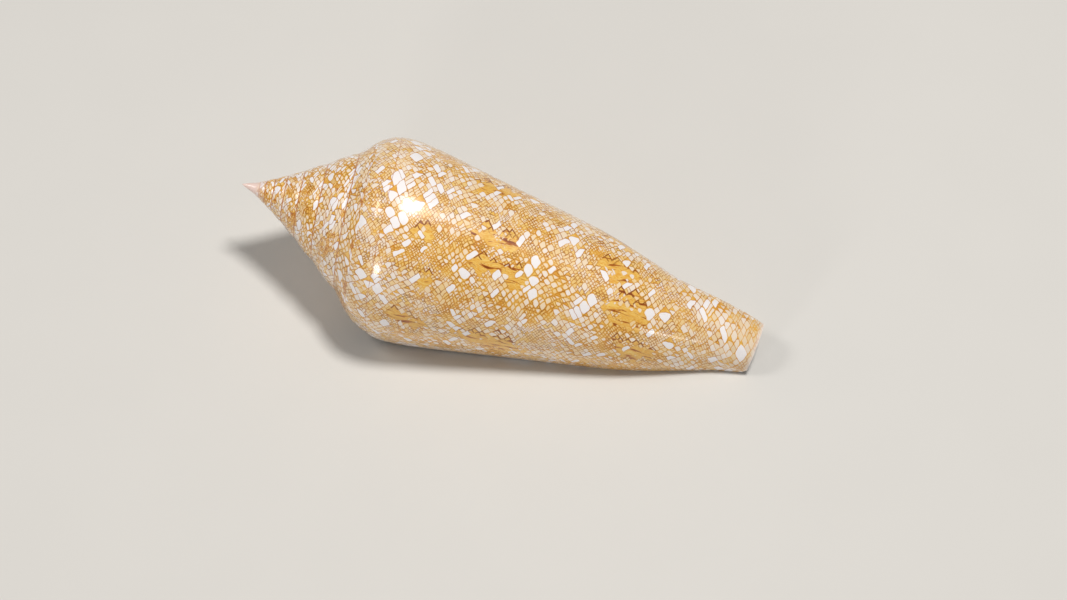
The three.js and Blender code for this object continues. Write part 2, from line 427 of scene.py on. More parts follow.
def skinTip(ramps):
    apex = addPoint(0, 0, 0)
    around = form["stepsPerTurn"]
    firstDepth = sutureAt(-form["spireTurns"])
    firstRadius = sheetRadius(firstDepth, -form["spireTurns"] - 1)
    rings = [[apex] * (around + 1)]
    for share in form["tipRings"]:
        radius = share ** form["tipRound"] * firstRadius
        ring = [addPoint(share * firstDepth, radius, turnOf(step)) for step in range(around)]
        rings.append(ring + ring[:1])
    rings.append([ramps[step][0] for step in range(around + 1)])
    for step in range(around):
        skin(*([(ring[k], (0.0, 0.0, 1.0), (0.0, 0.0, 0.0)) for ring in rings] for k in (step, step + 1)))


def skinOutside(ramps, body):
    rows = form["rampRows"]
    shoulder = marks["shoulderRow"]
    for step in range(lipStep):
        sector = sectorOf(turnOf(step))
        whorl = math.floor(turnOf(step) + roundingRoom)
        onBody = step >= mouthStep
        upTo = shoulder if onBody else rows
        skin(*(rampCorners(ramps, k, sector, 0, upTo, False, whorl) for k in (step, step + 1)))
        if onBody:
            skin(*(rampCorners(ramps, k, sector, shoulder, rows, True) for k in (step, step + 1)))
            skin(*(bodyCorners(body, k, sector) for k in (step, step + 1)))


def closeLip(ramps, body, roof):    # its rounded edge, and the small gap at its rear
    rows = form["rampRows"]
    shoulder = marks["shoulderRow"]
    last = sectorOf(turnOf(lipStep - 1))
    outside = (rampCorners(ramps, lipStep, last, 0, shoulder - 1, False)
               + rampCorners(ramps, lipStep, last, shoulder, rows, True)
               + bodyCorners(body, lipStep, last)[1:])
    edges = makeLip(outside, glazed(roof[lipStep]))
    seam = [edge[0] for edge in edges]
    corner = rampCorners(ramps, mouthStep + 1, last, rows, rows, True)[0]
    for before, after in zip(seam, seam[1:]):
        addFace(before, corner, after)
    return edges


def closeHollow(floor, roof):    # its far end
    rows = form["rampRows"]
    endFloor = glazed(floor[cavityStart])
    endRoof = glazed(roof[cavityStart])
    for row in range(rows + 1):
        addFace(endFloor[1], endRoof[row + 1], endRoof[row])
    skin(endRoof[rows + 1:], endFloor[1:])


def closeFront(body, floor, roof, edges):    # the wall's edge round the open slot, then the solid pillar
    openStep = lipStep
    while isOpen(openStep - 1):
        openStep -= 1
    outer, inner, under = ({step: glazed([column[-1]])[0] for step, column in part.items()}
                           for part in (body, roof, floor))
    addFace(under[openStep], inner[openStep], inner[openStep - 1])
    for step in range(openStep, lipStep):
        skin([outer[step], inner[step]], [outer[step + 1], inner[step + 1]])
    tips = [edge[-1] for edge in edges]
    for before, after in zip(tips[1:], tips[2:]):
        addFace(tips[0], before, after)
    rim = [outer[step] for step in range(mouthStep, openStep + 1)]
    rim += [inner[openStep]] + [under[step] for step in range(openStep, lipStep)]
    centre = glazed([addPoint(form["length"] - form["frontSlant"], 0, 0)])[0]
    for before, after in zip(rim, rim[1:] + rim[:1]):
        addFace(centre, before, after)


def makeShell():
    ramps = makeRamps()
    floor = makeFloor()
    roof = makeRoof(floor)
    body = makeBody(ramps, floor[lipStep])
    skinTip(ramps)
    skinOutside(ramps, body)
    for step in range(cavityStart, lipStep):
        skin(floorCorners(floor, step), floorCorners(floor, step + 1))
        skin(glazed(roof[step]), glazed(roof[step + 1]), facingOut=False)
    edges = closeLip(ramps, body, roof)
    closeHollow(floor, roof)
    closeFront(body, floor, roof, edges)


makeShell()

# Lay it down in the solid's own box, with its lowest spots worn flat
lowest = [min(p[i] for p in points) for i in range(3)]
highest = [max(p[i] for p in points) for i in range(3)]
middle = [(lowest[i] + highest[i]) / 2 for i in range(2)]
fit = [(cadBox[1][i] - cadBox[0][i]) / (highest[i] - lowest[i]) for i in range(2)]
low = highest[2] - cadBox[1][2] / mm
laid = []
for x, y, z in points:
    laid.append(((x - middle[0]) * fit[0], (y - middle[1]) * fit[1], max(z - low, 0) * mm))
print("fit to the solid's box:", [round(f / mm, 4) for f in fit])
print("worn off where it rests, mm:", round(low - lowest[2], 2))
mesh = bpy.data.meshes.new("coneShell")
mesh.from_pydata(laid, [], faces)
for name, values in (("growth", growthMarks), ("place", placeMarks)):
    layer = mesh.attributes.new(name, "FLOAT_VECTOR", "CORNER")
    layer.data.foreach_set("vector", [v for mark in values for v in mark])
mesh.shade_smooth()
mesh.set_sharp_from_angle(angle=math.radians(form["sharpAngle"]))
shell = bpy.data.objects.new("cone_shell", mesh)
bpy.context.scene.collection.objects.link(shell)
print("shell mesh:", len(points), "points,", sum(len(f) - 2 for f in faces), "triangles")


# Small helpers for building node trees
def setInput(tree, node, key, value):
    if isinstance(value, bpy.types.NodeSocket):
        tree.links.new(value, node.inputs[key])
    else:
        node.inputs[key].default_value = value


def addNode(tree, kind, inputs=(), **settings):
    node = tree.nodes.new(kind)
    for name, value in settings.items():
        setattr(node, name, value)
    for key, value in dict(inputs).items():
        setInput(tree, node, key, value)
    return node


def calc(tree, operation, *values):
    return addNode(tree, "ShaderNodeMath", enumerate(values), operation=operation).outputs[0]


def plus(tree, *values):
    return reduce(lambda total, value: calc(tree, "ADD", total, value), values)


def times(tree, *values):
    return reduce(lambda product, value: calc(tree, "MULTIPLY", product, value), values)


def minus(tree, value, less):
    return calc(tree, "SUBTRACT", value, less)


def over(tree, value, divisor):
    return calc(tree, "DIVIDE", value, divisor)


def isAbove(tree, value, limit):
    return calc(tree, "GREATER_THAN", value, limit)


def isBelow(tree, value, limit):
    return calc(tree, "LESS_THAN", value, limit)


def blend(tree, share, start, end):
    return plus(tree, start, times(tree, share, minus(tree, end, start)))


def dome(tree, dx, dy):    # 1 in the middle, 0 where dx and dy reach 1 together
    return minus(tree, 1.0, plus(tree, times(tree, dx, dx), times(tree, dy, dy)))


def ease(tree, value, low, high, lowOut=0.0, highOut=1.0):
    ends = {"Value": value, "From Min": low, "From Max": high, "To Min": lowOut, "To Max": highOut}
    return addNode(tree, "ShaderNodeMapRange", ends, interpolation_type="SMOOTHSTEP").outputs[0]


def noise(tree, x, y, z, scale, detail, rough):
    spot = addNode(tree, "ShaderNodeCombineXYZ", {0: x, 1: y, 2: z}).outputs[0]
    settings = {"Vector": spot, "Scale": scale, "Detail": detail, "Roughness": rough}
    return addNode(tree, "ShaderNodeTexNoise", settings).outputs


def randoms(tree, seed):    # three random numbers from 0 to 1
    colour = addNode(tree, "ShaderNodeTexWhiteNoise", {"W": seed}, noise_dimensions="1D").outputs["Color"]
    return addNode(tree, "ShaderNodeSeparateColor", {0: colour}).outputs[0:3]


def mixColour(tree, share, start, end):
    node = addNode(tree, "ShaderNodeMix", {0: share}, data_type="RGBA")
    for key, colour in ((6, start), (7, end)):
        setInput(tree, node, key, colour if isinstance(colour, bpy.types.NodeSocket) else (*colour, 1))
    return node.outputs[2]


def ramp(tree, value, stops):
    node = addNode(tree, "ShaderNodeValToRGB", {0: value})
    bar = node.color_ramp
    while len(bar.elements) < len(stops):
        bar.elements.new(0.5)
    for element, (spot, colour) in zip(bar.elements, stops):
        element.position = spot
        element.color = (*colour, 1)
    return node.outputs[0]


def toLinear(value):    # the screen's own curve, undone
    if value <= 10.31:
        return value / 3294.6
    return ((value / 255 + 0.055) / 1.055) ** 2.4


def paint(red, green, blue):    # screen colour, 0 to 255, to scene colour
    return tuple(toLinear(value) for value in (red, green, blue))


def makeGroup(name, inputs, outputs):
    tree = bpy.data.node_groups.new(name, "ShaderNodeTree")
    for way, names in (("INPUT", inputs), ("OUTPUT", outputs)):
        for n in names:
            tree.interface.new_socket(name=n, in_out=way, socket_type="NodeSocketFloat")
    return tree, tree.nodes.new("NodeGroupInput").outputs, tree.nodes.new("NodeGroupOutput").inputs


def useGroup(tree, group, values):
    return addNode(tree, "ShaderNodeGroup", values, node_tree=group).outputs


# Noise fields: place in the noise, scale per mm, detail and roughness
clouds = {
    "patch": (11.0, 0.11, 2.0, 0.5),      # regions of larger and smaller cells
    "bend": (55.0, 0.35, 1.0, 0.5),       # bends of the spire's lines
    "wash": (21.0, 0.12, 3.0, 0.6),       # paler and more golden regions
    "tone": (31.0, 0.45, 3.0, 0.6),       # shades of the golden ground
    "unsteady": (40.0, 0.5, 2.0, 0.5),    # width of the lines
    "darkness": (60.0, 0.3, 3.0, 0.7),    # darkness of the lines
    "torn": (13.0, 0.42, 2.0, 0.5),       # outlines of the blotches
    "wavy": (5.0, 0.25, 1.0, 0.5),        # bends of the streaks
    "streaks": (9.0, 1.0, 2.0, 0.6),
    "flame": (77.0, 0.5, 1.0, 0.5),
    "broken": (90.0, 0.6, 2.0, 0.5),      # gaps in the lines along the spire
    "growthBand": (17.0, 0.75, 3.0, 0.6),
    "ripples": (8.0, 1.0, 3.0, 0.6),      # faint relief
    "dull": (80.0, 0.6, 3.0, 0.5),        # how dull the polish is
}

# Added to a cell's own number, so that each use draws other random numbers
seeds = {"column": 0.37, "flatTop": 0.71, "fill": 5.3, "blotch": 2.9}


def cloud(tree, name, x, y):
    return noise(tree, x, y, *clouds[name])["Fac"]


# The net: coarse diamonds, cut again and again across one side or the other, some left whole as white tents
net = {
    "cell": 2.8,                         # mm, side of a coarse diamond
    "rowShifts": 4,                      # strips of diamonds are moved by quarters of a cell
    "lean": 1.25,                        # above 1 the diamonds are longer in the direction of growth
    "wander": (0.9, 0.09),               # mm, per mm: slow bends of the lines
    "ragged": (0.12, 0.9),               # mm, per mm: unsteady edges
    "stops": (0.03, 0.08, 0.4, 0.55),    # chance that a cell is left whole at each cut
    "wideCuts": 2,                       # the blotches follow the cells that there are after these cuts
    "cut": (0.42, 0.58),                 # where a cut falls across a cell
    "shape": (0.6, 1.9),                 # how readily a cell is cut across its width
    "patchFrom": (0.36, 0.64),           # noise in regions of small and of large cells
    "patchRange": (0.2, 1.9),            # factor of that chance, in those two kinds of region
    "tentStrength": 80.0,                # added to that factor in the middle of a large tent
    "flatTop": (0.3, 1.0, 0.0, 0.95),    # random range, and share of a cell cut off its rear corner
    "round": 0.5,                        # how round the white fills are
    "cellNumber": (7.31, 131.17),        # the number of a diamond, from its column and row
    "sideNumber": (11.3, 37.7),          # added at each cut, and on its far side
}
state = ("x", "y", "wide", "tall", "seed", "open")

# Large white tents: place along the body and round it, and reach, all in mm
largeTents = [
    (1.5, -9.5, 2.6), (3.0, -2.5, 2.4), (1.0, 14.0, 2.4),
    (8.5, -8.0, 1.8), (34.0, -1.0, 1.6), (46.0, 4.5, 1.6),
]


def makeSplitGroup():    # cuts a cell in two, and says which half a spot is in
    tree, have, give = makeGroup("splitCell", (*state, "stop"), state)
    r1, r2, r3 = randoms(tree, have["seed"])
    active = times(tree, have["open"], isAbove(tree, r3, have["stop"]))
    shape = blend(tree, r1, *net["shape"])
    across = isAbove(tree, times(tree, have["wide"], shape), have["tall"])
    spot = blend(tree, across, have["y"], have["x"])
    size = blend(tree, across, have["tall"], have["wide"])
    cut = times(tree, size, blend(tree, r2, *net["cut"]))
    side = isAbove(tree, spot, cut)
    newSpot = minus(tree, spot, times(tree, side, cut))
    newSize = blend(tree, side, cut, minus(tree, size, cut))
    inX = times(tree, active, across)
    inY = minus(tree, active, inX)
    atCut, onFarSide = net["sideNumber"]
    jump = times(tree, active, plus(tree, times(tree, side, onFarSide), atCut))
    results = (blend(tree, inX, have["x"], newSpot), blend(tree, inY, have["y"], newSpot),
               blend(tree, inX, have["wide"], newSize), blend(tree, inY, have["tall"], newSize),
               plus(tree, have["seed"], jump), active)
    for name, result in zip(state, results):
        tree.links.new(result, give[name])
    return tree


def hillAt(tree, x, y, spot):    # 1 at the spot, 0 at its reach, negative beyond
    dx = over(tree, minus(tree, x, spot[0]), spot[2])
    dy = over(tree, minus(tree, y, spot[1]), spot[-1])
    return dome(tree, dx, dy)


def bentPlace(tree, s, t):    # both places, moved by slow bends and by small ragged ones
    moved = []
    for axis, base in enumerate((s, t)):
        for reach, scale in (net["wander"], net["ragged"]):
            place = 3.0 + 9 * scale    # each has its own place in the noise
            colour = noise(tree, s, t, place, scale, 1.0, 0.5)["Color"]
            part = addNode(tree, "ShaderNodeSeparateColor", {0: colour}).outputs[axis]
            spread = 4 * reach    # noise mostly keeps within a quarter of its middle
            base = plus(tree, base, times(tree, minus(tree, part, 0.5), spread))
        moved.append(base)
    return moved


def makeNetGroup():
    outputs = ("edge", "soft", "area", "seed", "cellS", "cellT", "wideEdge", "wideSeed", "wideS", "wideT")
    tree, have, give = makeGroup("tentNet", ("s", "t", "tents"), outputs)
    half = math.sqrt(0.5)
    size = net["cell"]
    movedS, movedT = bentPlace(tree, have["s"], have["t"])
    slanted = times(tree, movedS, net["lean"])
    a = times(tree, plus(tree, movedT, slanted), half)
    b = times(tree, minus(tree, movedT, slanted), half)

    def placeOf(spotA, spotB):    # back from the diamonds' own directions
        return (times(tree, minus(tree, spotA, spotB), half / net["lean"]),
                times(tree, plus(tree, spotA, spotB), half))

    # coarse diamonds, each strip of them moved by some quarters of a cell
    column = over(tree, a, size)
    columnId = calc(tree, "FLOOR", column)
    chance = randoms(tree, plus(tree, columnId, seeds["column"]))[0]
    offset = calc(tree, "FLOOR", times(tree, chance, float(net["rowShifts"])))
    row = plus(tree, over(tree, b, size), times(tree, offset, 1 / net["rowShifts"]))
    rowId = calc(tree, "FLOOR", row)

    # regions of larger and smaller cells, the same all over a coarse diamond
    middleA = times(tree, plus(tree, columnId, 0.5), size)
    middleB = plus(tree, b, times(tree, minus(tree, plus(tree, rowId, 0.5), row), size))
    middleS, middleT = placeOf(middleA, middleB)
    patch = cloud(tree, "patch", middleS, middleT)
    dense = times(tree, ease(tree, patch, *net["patchFrom"], *net["patchRange"]), have["tents"])
    for spot in largeTents:
        hill = calc(tree, "MAXIMUM", hillAt(tree, middleS, middleT, spot), 0.0)
        dense = plus(tree, dense, times(tree, hill, net["tentStrength"]))

    forColumn, forRow = net["cellNumber"]
    cell = {
        "x": times(tree, minus(tree, column, columnId), size),
        "y": times(tree, minus(tree, row, rowId), size),
        "wide": size, "tall": size, "open": 1.0,
        "seed": plus(tree, times(tree, columnId, forColumn), times(tree, rowId, forRow)),
    }
    splitCell = makeSplitGroup()
    for number, chance in enumerate(net["stops"], start=1):
        values = {name: cell[name] for name in state}
        cell = useGroup(tree, splitCell, {**values, "stop": times(tree, dense, chance)})
        if number == net["wideCuts"]:
            wideCell = cell

    def middleOf(cell):
        spotA = plus(tree, minus(tree, a, cell["x"]), times(tree, cell["wide"], 0.5))
        spotB = plus(tree, minus(tree, b, cell["y"]), times(tree, cell["tall"], 0.5))
        return placeOf(spotA, spotB)

    x, y, wide, tall = (cell[name] for name in state[:4])
    farX = minus(tree, wide, x)
    farY = minus(tree, tall, y)
    side = calc(tree, "MINIMUM", calc(tree, "MINIMUM", x, farX), calc(tree, "MINIMUM", y, farY))
    wideS, wideT = middleOf(wideCell)
    cellS, cellT = middleOf(cell)

    # the rear corner of each cell is cut off flat, which makes a tent of it
    chance = randoms(tree, plus(tree, cell["seed"], seeds["flatTop"]))[1]
    smaller = calc(tree, "MINIMUM", wide, tall)
    flatTop = times(tree, smaller, ease(tree, chance, *net["flatTop"]))
    top = times(tree, minus(tree, plus(tree, x, y), flatTop), half)

    def softMinimum(one, other):
        return calc(tree, "SMOOTH_MIN", one, other, times(tree, smaller, net["round"]))

    results = {
        "edge": calc(tree, "MINIMUM", side, calc(tree, "ABSOLUTE", top)),
        "soft": softMinimum(softMinimum(softMinimum(x, farX), softMinimum(y, farY)), top),
        "area": times(tree, wide, tall),
        "seed": cell["seed"],
        "cellS": cellS,
        "cellT": cellT,
        "wideEdge": calc(tree, "MINIMUM", wideCell["x"], wideCell["y"]),
        "wideSeed": wideCell["seed"],
        "wideS": wideS,
        "wideT": wideT,
    }
    for name, result in results.items():
        tree.links.new(result, give[name])
    return tree


# Colours of the real shell
hues = {
    "butter": paint(240, 200, 118),
    "cream": paint(243, 214, 166),
    "milk": paint(241, 227, 211),
    # painted shade: the small fills' colour at the front end, darker than their own colour
    "frontShadeCream": paint(224, 198, 156),
    "tent": paint(246, 242, 243),
    "gold": paint(240, 192, 96),
    "amber": paint(224, 160, 58),
    "ochre": paint(228, 162, 52),
    "straw": paint(244, 204, 112),
    "streak": paint(186, 108, 28),
    "outline": paint(134, 64, 14),
    "lineLight": paint(224, 164, 66),
    "lineMid": paint(186, 114, 34),
    "lineDark": paint(118, 56, 12),
    "tip": paint(240, 216, 208),
    "suture": paint(188, 112, 44),
    "inside": paint(240, 236, 238),
}

# Ochre blotches: place along the body and round it, then half sizes, all in mm
blotches = [
    (25.5, -4.8, 6.2, 3.2), (28.0, 2.4, 8.0, 2.7), (27.5, 21.5, 9.0, 4.2), (8.5, 20.5, 4.5, 2.8),
    (52.0, -6.0, 4.6, 3.0), (55.0, 2.2, 5.2, 4.4), (58.0, 11.5, 5.6, 3.8), (9.0, -1.5, 3.0, 2.0),
    (23.0, -17.0, 7.0, 3.2), (52.0, -14.0, 5.0, 2.8), (11.0, 8.5, 2.6, 1.8),
]
bands = {
    "places": ((8.0, 3.5), (26.5, 8.0), (54.5, 6.0)),    # mm along the body, half width
    "spacing": 7.0,                                      # mm round the body
    "share": 0.62,                                       # how many of the places round a band hold a blotch
    "away": 60.0,                                        # mm round the body, past the blotches above
    "shift": 0.3,                                        # spacings by which each band is moved
    "halfLengths": (0.32, 0.5),                          # spacings
    "stray": 2.5,                                        # mm along the body, either way
    "seedStep": 17.3,
    "rearReach": -0.3,                                   # how far past a blotch's edge its rear still counts
}


def makeBlotchGroup():
    tree, have, give = makeGroup("blotches", ("s", "t"), ("mask", "rear"))
    mask, rear = -1.0, 0.0
    for spot in blotches:
        hill = hillAt(tree, have["s"], have["t"], spot)
        before = over(tree, minus(tree, spot[1], have["t"]), spot[3])
        near = isAbove(tree, hill, bands["rearReach"])
        rear = calc(tree, "MAXIMUM", rear, times(tree, near, before))
        mask = calc(tree, "MAXIMUM", mask, hill)

    # elsewhere round the body they stand in the same bands
    away = isAbove(tree, calc(tree, "ABSOLUTE", have["t"]), bands["away"])
    place = over(tree, have["t"], bands["spacing"])
    for k, (middleS, halfWidth) in enumerate(bands["places"]):
        moved = plus(tree, place, bands["shift"] * k)
        number = calc(tree, "ROUND", moved)
        r1, r2, r3 = randoms(tree, plus(tree, number, bands["seedStep"] * k))
        dy = over(tree, minus(tree, moved, number), blend(tree, r1, *bands["halfLengths"]))
        centre = blend(tree, r2, middleS - bands["stray"], middleS + bands["stray"])
        dx = over(tree, minus(tree, have["s"], centre), halfWidth)
        there = times(tree, away, isBelow(tree, r3, bands["share"]))
        hill = minus(tree, times(tree, plus(tree, dome(tree, dx, dy), 1.0), there), 1.0)
        before = times(tree, isAbove(tree, hill, 0.0), times(tree, dy, -1.0))
        rear = calc(tree, "MAXIMUM", rear, before)
        mask = calc(tree, "MAXIMUM", mask, hill)
    tree.links.new(mask, give["mask"])
    tree.links.new(rear, give["rear"])
    return tree


# White fills on a golden ground, and the lines between them
fills = {
    "frontPlaces": (60.0, 88.0),    # mm along the body, where the paler front begins and is whole
    "spireTents": 2.2,              # more whole cells on the spire
    "frontTents": 0.6,              # more whole cells added at the front
    "spireBend": 1.7,               # mm, lines bend more on the spire
    "bendRound": 0.7,               # share of that bend that goes round the shell
    "tentAreas": (1.2, 3.2),        # square mm, cells turn into white tents between these
    "smallStops": (0.0, 0.45, 0.95),
    "frontShade": 0.7,                # painted shade: share by which the small fills darken towards the front end
    "washStretch": 0.7,
    "wash": (0.4, 0.62),
    "margins": (-0.08, 0.125),      # mm of golden margin round a fill, in pale and in golden regions
    "marginSpread": (0.6, 1.4),
    "frontMargin": 0.1,             # mm less at the front
    "shoulderMargin": 0.07,         # mm less at the shoulder
    "shoulderPlaces": (6.0, 20.0),
    "soft": 0.12,                   # mm over which a fill fades out
    "tone": (0.4, 0.66),
}
lines = {
    "half": 0.075,    # mm, half a line's width
    "spread": (0.5, 1.5),
    "soft": (0.4, 1.6),
    "spireDarker": 0.08,
    "frontPaler": 0.12,
    "stops": (0.32, 0.5, 0.72),
    "strength": 0.85,
}


def fillMask(tree, at, cell):    # 1 inside a white fill, 0 on the golden ground
    wash = cloud(tree, "wash", at["s"], times(tree, at["t"], fills["washStretch"]))
    margin = ease(tree, wash, *fills["wash"], *fills["margins"])
    margin = times(tree, margin, blend(tree, at["chance"], *fills["marginSpread"]))
    margin = minus(tree, margin, times(tree, at["toFront"], fills["frontMargin"]))
    atShoulder = times(tree, at["onBody"], ease(tree, at["s"], *fills["shoulderPlaces"], 1.0, 0.0))
    margin = minus(tree, margin, times(tree, atShoulder, fills["shoulderMargin"]))
    inside = over(tree, minus(tree, cell["soft"], margin), fills["soft"])
    return addNode(tree, "ShaderNodeClamp", {0: inside}).outputs[0]


def netColour(tree, at, cell, inFill):
    stops = zip(fills["smallStops"], (hues["butter"], hues["cream"], hues["milk"]))
    small = ramp(tree, at["shade"], tuple(stops))
    # painted shade: the small fills darken towards the front end
    small = mixColour(tree, times(tree, at["toFront"], fills["frontShade"]), small, hues["frontShadeCream"])
    fill = mixColour(tree, ease(tree, cell["area"], *fills["tentAreas"]), small, hues["tent"])
    tone = cloud(tree, "tone", at["s"], at["t"])
    ground = mixColour(tree, ease(tree, tone, *fills["tone"]), hues["gold"], hues["amber"])
    colour = mixColour(tree, inFill, ground, fill)

    # the net's lines, from gold to dark brown
    thin, thick = lines["spread"]
    unsteady = cloud(tree, "unsteady", at["s"], at["t"])
    width = blend(tree, unsteady, thin * lines["half"], thick * lines["half"])
    sharp, faded = (times(tree, width, share) for share in lines["soft"])
    line = ease(tree, cell["edge"], sharp, faded, 1.0, 0.0)
    darkness = cloud(tree, "darkness", at["s"], at["t"])
    darkness = plus(tree, darkness, times(tree, at["onRamp"], lines["spireDarker"]))
    darkness = minus(tree, darkness, times(tree, at["toFront"], lines["frontPaler"]))
    stops = zip(lines["stops"], (hues["lineLight"], hues["lineMid"], hues["lineDark"]))
    lineColour = ramp(tree, darkness, tuple(stops))
    return mixColour(tree, times(tree, line, lines["strength"]), colour, lineColour)


# Ochre patches, streaked along the growth lines, which end at the cells' own edges
patches = {
    "tornReach": 2.4,                # how far the noise moves a blotch's outline
    "chanceReach": 0.7,              # and how far a cell's own chance does
    "tornMiddle": 1.85,
    "limit": -0.2,                   # no cell past this is filled
    "largestArea": 2.6,              # square mm, larger cells stay white
    "waveReach": 1.8,                # mm
    "streakStretch": (0.16, 1.2),    # along the body and round it
    "dots": 0.12,                    # share of the fills that still show in a blotch
    "rim": (0.3, 0.65),              # how far in the zigzags reach
    "rear": (0.0, 0.5),              # how far behind a blotch's middle they begin and are whole
    "rimLine": (0.2, 0.36),          # mm, their width
    "rimStrength": 0.95,
}
ochreStops = (
    (0.38, "straw"), (0.43, "ochre"), (0.47, "straw"), (0.52, "ochre"),
    (0.55, "straw"), (0.59, "streak"), (0.7, "outline"),
)


def ochreStreaks(tree, at):
    wavy = plus(tree, at["t"], times(tree, cloud(tree, "wavy", at["s"], at["t"]), patches["waveReach"]))
    along, around = patches["streakStretch"]
    streaks = cloud(tree, "streaks", times(tree, at["s"], along), times(tree, wavy, around))
    return ramp(tree, streaks, tuple((spot, hues[name]) for spot, name in ochreStops))


def blotchColour(tree, at, cell, inFill, ochre, colour):
    blotch = useGroup(tree, makeBlotchGroup(), {"s": cell["wideS"], "t": cell["wideT"]})
    torn = times(tree, cloud(tree, "torn", cell["wideS"], cell["wideT"]), patches["tornReach"])
    chance = randoms(tree, plus(tree, cell["wideSeed"], seeds["blotch"]))[0]
    torn = plus(tree, torn, times(tree, chance, patches["chanceReach"]))
    raggedMask = plus(tree, blotch["mask"], minus(tree, torn, patches["tornMiddle"]))
    started = isAbove(tree, raggedMask, 0.0)
    small = isBelow(tree, cell["area"], patches["largestArea"])
    inside = times(tree, started, isAbove(tree, blotch["mask"], patches["limit"]), at["onBody"], small)
    dots = times(tree, inFill, isBelow(tree, at["chance"], patches["dots"]))
    colour = mixColour(tree, times(tree, inside, minus(tree, 1.0, dots)), colour, ochre)

    # brown zigzags along the rear of a blotch
    rim = times(tree, ease(tree, raggedMask, *patches["rim"], 1.0, 0.0), started)
    rimDark = times(tree, rim, ease(tree, blotch["rear"], *patches["rear"]))
    wideLine = ease(tree, cell["wideEdge"], *patches["rimLine"], 1.0, 0.0)
    atRim = times(tree, rimDark, wideLine, at["onBody"], patches["rimStrength"])
    return mixColour(tree, atRim, colour, hues["outline"])


# Flames on the spire, fine lines along its sutures, and dark growth lines behind the lip
spire = {
    "flameStretch": 0.6,
    "flameFrom": 0.57,
    "flameLargest": 1.6,            # square mm
    "flameStrength": 0.8,
    "flameLine": (0.04, 0.16),      # mm
    "broken": (0.36, 0.6),
    "thread": 0.36,                 # share of the ramp's width, where a thin line runs
    "threadLine": (0.008, 0.02),    # shares of that width
    "threadStrength": 0.7,
    "rampWidth": 0.3,               # about the width of a ramp, as a share of its depth
    "sutureLine": (0.07, 0.2),      # mm
    "sutureStrength": (0.55, 0.95),
}
growthLines = {
    "stretch": 0.12,
    "band": (0.5, 0.58),
    "places": (-13.0, -6.0),    # mm behind the lip, where they begin and are whole
    "end": (-0.9, -0.3),        # mm behind the lip, where they fade out
    "strength": 0.9,
}


def spireColour(tree, at, cell, ochre, colour):
    flame = cloud(tree, "flame", cell["cellS"], times(tree, cell["cellT"], spire["flameStretch"]))
    small = isBelow(tree, cell["area"], spire["flameLargest"])
    inFlame = times(tree, isAbove(tree, flame, spire["flameFrom"]), at["onRamp"], small)
    colour = mixColour(tree, times(tree, inFlame, spire["flameStrength"]), colour, ochre)
    flameLine = times(tree, inFlame, ease(tree, cell["edge"], *spire["flameLine"], 1.0, 0.0))
    colour = mixColour(tree, times(tree, flameLine, spire["flameStrength"]), colour, hues["streak"])

    toSuture = calc(tree, "MINIMUM", at["share"], minus(tree, 1.0, at["share"]))
    toSuture = times(tree, toSuture, times(tree, at["depth"], spire["rampWidth"]))    # mm
    broken = ease(tree, cloud(tree, "broken", at["s"], at["t"]), *spire["broken"])
    toThread = calc(tree, "ABSOLUTE", minus(tree, at["share"], spire["thread"]))
    threadDark = times(tree, ease(tree, toThread, *spire["threadLine"], 1.0, 0.0), broken)
    strength = blend(tree, broken, *spire["sutureStrength"])
    sutureDark = times(tree, ease(tree, toSuture, *spire["sutureLine"], 1.0, 0.0), strength)
    dark = calc(tree, "MAXIMUM", times(tree, threadDark, spire["threadStrength"]), sutureDark)
    return mixColour(tree, dark, colour, hues["suture"])


def growthColour(tree, at, colour):
    band = cloud(tree, "growthBand", times(tree, at["s"], growthLines["stretch"]), at["t"])
    line = times(tree, ease(tree, band, *growthLines["band"]), ease(tree, at["t"], *growthLines["places"]))
    atEnd = ease(tree, at["t"], *growthLines["end"], 1.0, 0.0)
    line = times(tree, line, times(tree, at["onRamp"], atEnd))
    return mixColour(tree, times(tree, line, growthLines["strength"]), colour, hues["outline"])


finish = {
    "tipDepths": (2.5, 6.0),    # mm from the apex, the bare tip and where it has faded
    "tipStrength": 0.92,
    "rippleStretch": (0.12, 1.6),
    "bumpStrength": 0.08,
    "bumpDistance": 0.0002,     # m
    "dull": (0.3, 0.7),
    "roughness": (0.2, 0.3),
    "ior": 1.53,
    "coatWeight": 0.5,
    "coatRoughness": 0.08,
    "coatIor": 1.5,
}


